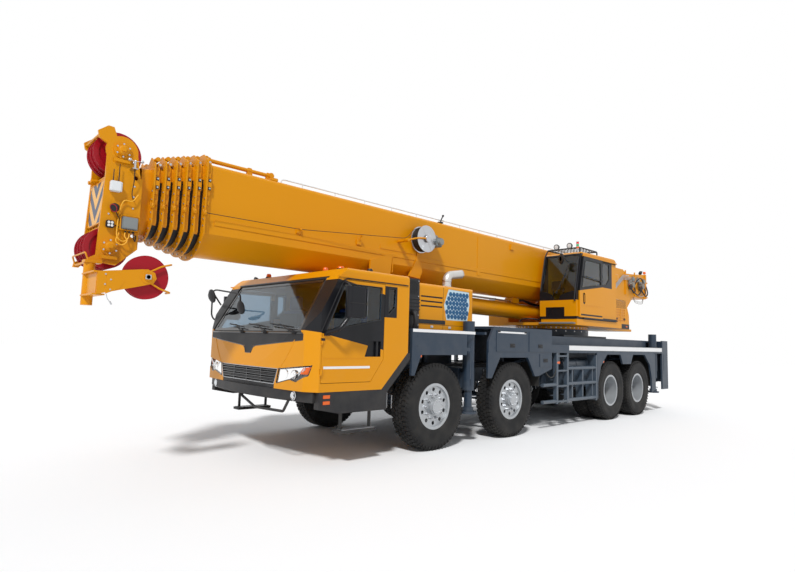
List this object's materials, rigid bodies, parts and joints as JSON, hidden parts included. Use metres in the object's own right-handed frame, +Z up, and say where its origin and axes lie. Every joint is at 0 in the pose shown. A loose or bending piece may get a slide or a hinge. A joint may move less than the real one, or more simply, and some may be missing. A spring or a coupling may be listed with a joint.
{
  "type": "truck crane with a telescopic boom",
  "caption": "Road-going truck crane: two-cab carrier on steered and twin wheels, outriggers, slewing deck and a nested telescopic boom that a cylinder lifts.",
  "frame": {"origin": "on the ground, under the middle of the whole machine's bounding box", "axes": "+X forward, +Y to the vehicle's left, +Z up"},
  "size_m": [14.2998, 3.31, 3.77],
  "materials": {
    "paint_yellow": "gloss",
    "paint_dark": "satin",
    "black_trim": "matt",
    "tyre": "matt",
    "rim_silver": "satin",
    "glass": "gloss",
    "exhaust_steel": "satin",
    "tank_grey": "satin",
    "interior": "matt",
    "lamp_lens": "gloss",
    "winch_paint": "satin",
    "chrome": "mirror",
    "sheave_red": "gloss",
    "jack_steel": "satin"
  },
  "bodies": {
    "chassis": {"chassis_frame": "paint_dark", "axle_beams": "paint_dark", "engine": "exhaust_steel", "engine_hood": "paint_yellow", "deck": "paint_dark", "fuel_tanks": "tank_grey", "cab_shell": "paint_yellow", "cab_glass": "glass", "cab_fittings": "black_trim", "cab_interior": "interior", "lamps": "lamp_lens"},
    "wheel_1_left": {"tyre_1_left": "tyre", "rim_1_left": "rim_silver"},
    "knuckle_1_left": {"knuckle_1_left": "paint_dark"},
    "wheel_1_right": {"tyre_1_right": "tyre", "rim_1_right": "rim_silver"},
    "knuckle_1_right": {"knuckle_1_right": "paint_dark"},
    "wheel_2_left": {"tyre_2_left": "tyre", "rim_2_left": "rim_silver"},
    "knuckle_2_left": {"knuckle_2_left": "paint_dark"},
    "wheel_2_right": {"tyre_2_right": "tyre", "rim_2_right": "rim_silver"},
    "knuckle_2_right": {"knuckle_2_right": "paint_dark"},
    "wheel_3_left": {"tyre_3_left": "tyre", "rim_3_left": "rim_silver"},
    "wheel_3_right": {"tyre_3_right": "tyre", "rim_3_right": "rim_silver"},
    "wheel_4_left": {"tyre_4_left": "tyre", "rim_4_left": "rim_silver"},
    "wheel_4_right": {"tyre_4_right": "tyre", "rim_4_right": "rim_silver"},
    "cab_door_left": {"cab_door_left": "paint_yellow", "cab_door_glass_left": "glass"},
    "cab_door_right": {"cab_door_right": "paint_yellow", "cab_door_glass_right": "glass"},
    "outrigger_beam_front_left": {"outrigger_beam_front_left": "paint_dark"},
    "outrigger_jack_front_left": {"outrigger_jack_front_left": "jack_steel"},
    "outrigger_beam_front_right": {"outrigger_beam_front_right": "paint_dark"},
    "outrigger_jack_front_right": {"outrigger_jack_front_right": "jack_steel"},
    "outrigger_beam_rear_left": {"outrigger_beam_rear_left": "paint_dark"},
    "outrigger_jack_rear_left": {"outrigger_jack_rear_left": "jack_steel"},
    "outrigger_beam_rear_right": {"outrigger_beam_rear_right": "paint_dark"},
    "outrigger_jack_rear_right": {"outrigger_jack_rear_right": "jack_steel"},
    "superstructure": {"superstructure": "paint_yellow", "operator_cab": "paint_yellow", "operator_cab_glass": "glass", "winches": "winch_paint"},
    "operator_door": {"operator_door": "paint_yellow", "operator_door_glass": "glass"},
    "boom_base": {"boom_base": "paint_yellow"},
    "boom_section_2": {"boom_section_2": "paint_yellow"},
    "boom_section_3": {"boom_section_3": "paint_yellow"},
    "boom_section_4": {"boom_section_4": "paint_yellow"},
    "boom_section_5": {"boom_section_5": "paint_yellow"},
    "boom_section_6": {"boom_section_6": "paint_yellow"},
    "boom_section_7": {"boom_section_7": "paint_yellow", "head_sheaves": "sheave_red"},
    "rooster_sheave": {"rooster_sheave": "paint_yellow"},
    "lift_cylinder": {"lift_cylinder": "paint_yellow"},
    "lift_rod": {"lift_rod": "chrome"}
  },
  "joints": [
    {"name": "steer_1_left", "type": "hinge", "parent": "chassis", "child": "knuckle_1_left", "pos_m": [2.8, 1.08, 0.613], "axis": [0, 0, 1], "range_deg": [-30, 30]},
    {"name": "roll_1_left", "type": "hinge", "parent": "knuckle_1_left", "child": "wheel_1_left", "pos_m": [2.8, 1.2, 0.613], "axis": [0, 1, 0], "continuous": true},
    {"name": "steer_1_right", "type": "hinge", "parent": "chassis", "child": "knuckle_1_right", "pos_m": [2.8, -1.08, 0.613], "axis": [0, 0, 1], "range_deg": [-30, 30]},
    {"name": "roll_1_right", "type": "hinge", "parent": "knuckle_1_right", "child": "wheel_1_right", "pos_m": [2.8, -1.2, 0.613], "axis": [0, 1, 0], "continuous": true},
    {"name": "steer_2_left", "type": "hinge", "parent": "chassis", "child": "knuckle_2_left", "pos_m": [0.93, 1.08, 0.613], "axis": [0, 0, 1], "range_deg": [-22, 22]},
    {"name": "roll_2_left", "type": "hinge", "parent": "knuckle_2_left", "child": "wheel_2_left", "pos_m": [0.93, 1.2, 0.613], "axis": [0, 1, 0], "continuous": true},
    {"name": "steer_2_right", "type": "hinge", "parent": "chassis", "child": "knuckle_2_right", "pos_m": [0.93, -1.08, 0.613], "axis": [0, 0, 1], "range_deg": [-22, 22]},
    {"name": "roll_2_right", "type": "hinge", "parent": "knuckle_2_right", "child": "wheel_2_right", "pos_m": [0.93, -1.2, 0.613], "axis": [0, 1, 0], "continuous": true},
    {"name": "roll_3_left", "type": "hinge", "parent": "chassis", "child": "wheel_3_left", "pos_m": [-2.715, 1.2, 0.613], "axis": [0, 1, 0], "continuous": true},
    {"name": "roll_3_right", "type": "hinge", "parent": "chassis", "child": "wheel_3_right", "pos_m": [-2.715, -1.2, 0.613], "axis": [0, 1, 0], "continuous": true},
    {"name": "roll_4_left", "type": "hinge", "parent": "chassis", "child": "wheel_4_left", "pos_m": [-4.065, 1.2, 0.613], "axis": [0, 1, 0], "continuous": true},
    {"name": "roll_4_right", "type": "hinge", "parent": "chassis", "child": "wheel_4_right", "pos_m": [-4.065, -1.2, 0.613], "axis": [0, 1, 0], "continuous": true},
    {"name": "open_cab_door_left", "type": "hinge", "parent": "chassis", "child": "cab_door_left", "pos_m": [4.853, 1.415, 1.6], "axis": [0, 0, -1], "range_deg": [0, 68]},
    {"name": "open_cab_door_right", "type": "hinge", "parent": "chassis", "child": "cab_door_right", "pos_m": [4.853, -1.415, 1.6], "axis": [0, 0, 1], "range_deg": [0, 68]},
    {"name": "extend_outrigger_beam_front_left", "type": "slide", "parent": "chassis", "child": "outrigger_beam_front_left", "axis": [0, 1, 0], "range_m": [0, 2.25]},
    {"name": "lower_outrigger_jack_front_left", "type": "slide", "parent": "outrigger_beam_front_left", "child": "outrigger_jack_front_left", "axis": [0, 0, -1], "range_m": [0, 0.52]},
    {"name": "extend_outrigger_beam_front_right", "type": "slide", "parent": "chassis", "child": "outrigger_beam_front_right", "axis": [0, -1, 0], "range_m": [0, 2.25]},
    {"name": "lower_outrigger_jack_front_right", "type": "slide", "parent": "outrigger_beam_front_right", "child": "outrigger_jack_front_right", "axis": [0, 0, -1], "range_m": [0, 0.52]},
    {"name": "extend_outrigger_beam_rear_left", "type": "slide", "parent": "chassis", "child": "outrigger_beam_rear_left", "axis": [0, 1, 0], "range_m": [0, 2.25]},
    {"name": "lower_outrigger_jack_rear_left", "type": "slide", "parent": "outrigger_beam_rear_left", "child": "outrigger_jack_rear_left", "axis": [0, 0, -1], "range_m": [0, 0.52]},
    {"name": "extend_outrigger_beam_rear_right", "type": "slide", "parent": "chassis", "child": "outrigger_beam_rear_right", "axis": [0, -1, 0], "range_m": [0, 2.25]},
    {"name": "lower_outrigger_jack_rear_right", "type": "slide", "parent": "outrigger_beam_rear_right", "child": "outrigger_jack_rear_right", "axis": [0, 0, -1], "range_m": [0, 0.52]},
    {"name": "slew", "type": "hinge", "parent": "chassis", "child": "superstructure", "pos_m": [-2.6, 0, 1.885], "axis": [0, 0, 1], "continuous": true},
    {"name": "slide_operator_door", "type": "slide", "parent": "superstructure", "child": "operator_door", "axis": [-1, 0, 0], "range_m": [0, 0.6]},
    {"name": "luff", "type": "hinge", "parent": "superstructure", "child": "boom_base", "pos_m": [-4.7, 0, 3.23], "axis": [0, -1, 0], "range_deg": [0, 80]},
    {"name": "telescope_2", "type": "slide", "parent": "boom_base", "child": "boom_section_2", "axis": [1, 0, 0], "range_m": [0, 8.6]},
    {"name": "telescope_3", "type": "slide", "parent": "boom_section_2", "child": "boom_section_3", "axis": [1, 0, 0], "range_m": [0, 8.6]},
    {"name": "telescope_4", "type": "slide", "parent": "boom_section_3", "child": "boom_section_4", "axis": [1, 0, 0], "range_m": [0, 8.6]},
    {"name": "telescope_5", "type": "slide", "parent": "boom_section_4", "child": "boom_section_5", "axis": [1, 0, 0], "range_m": [0, 8.6]},
    {"name": "telescope_6", "type": "slide", "parent": "boom_section_5", "child": "boom_section_6", "axis": [1, 0, 0], "range_m": [0, 8.6]},
    {"name": "telescope_7", "type": "slide", "parent": "boom_section_6", "child": "boom_section_7", "axis": [1, 0, 0], "range_m": [0, 8.6]},
    {"name": "swing_rooster_sheave", "type": "hinge", "parent": "boom_section_7", "child": "rooster_sheave", "pos_m": [7.09, 0.35, 2.01], "axis": [0, 0, -1], "range_deg": [0, 180]},
    {"name": "swing_lift_cylinder", "type": "hinge", "parent": "superstructure", "child": "lift_cylinder", "pos_m": [-2.25, 0, 2.215], "axis": [0, -1, 0], "range_deg": [0, 90.57]},
    {"name": "extend_lift_rod", "type": "slide", "parent": "lift_cylinder", "child": "lift_rod", "axis": [0.9999, 0, 0.0114], "range_m": [0, 3.186]}
  ],
  "couplings": [
    {"joint": "steer_1_right", "follows": "steer_1_left", "ratio": 1},
    {"joint": "steer_2_left", "follows": "steer_1_left", "ratio": 0.72},
    {"joint": "steer_2_right", "follows": "steer_1_left", "ratio": 0.72},
    {"joint": "telescope_3", "follows": "telescope_2", "ratio": 1},
    {"joint": "telescope_4", "follows": "telescope_2", "ratio": 1},
    {"joint": "telescope_5", "follows": "telescope_2", "ratio": 1},
    {"joint": "telescope_6", "follows": "telescope_2", "ratio": 1},
    {"joint": "telescope_7", "follows": "telescope_2", "ratio": 1},
    {"joint": "swing_lift_cylinder", "follows": "luff", "ratio": 1.1315},
    {"joint": "extend_lift_rod", "follows": "luff", "m_per_rad": 2.2801}
  ]
}
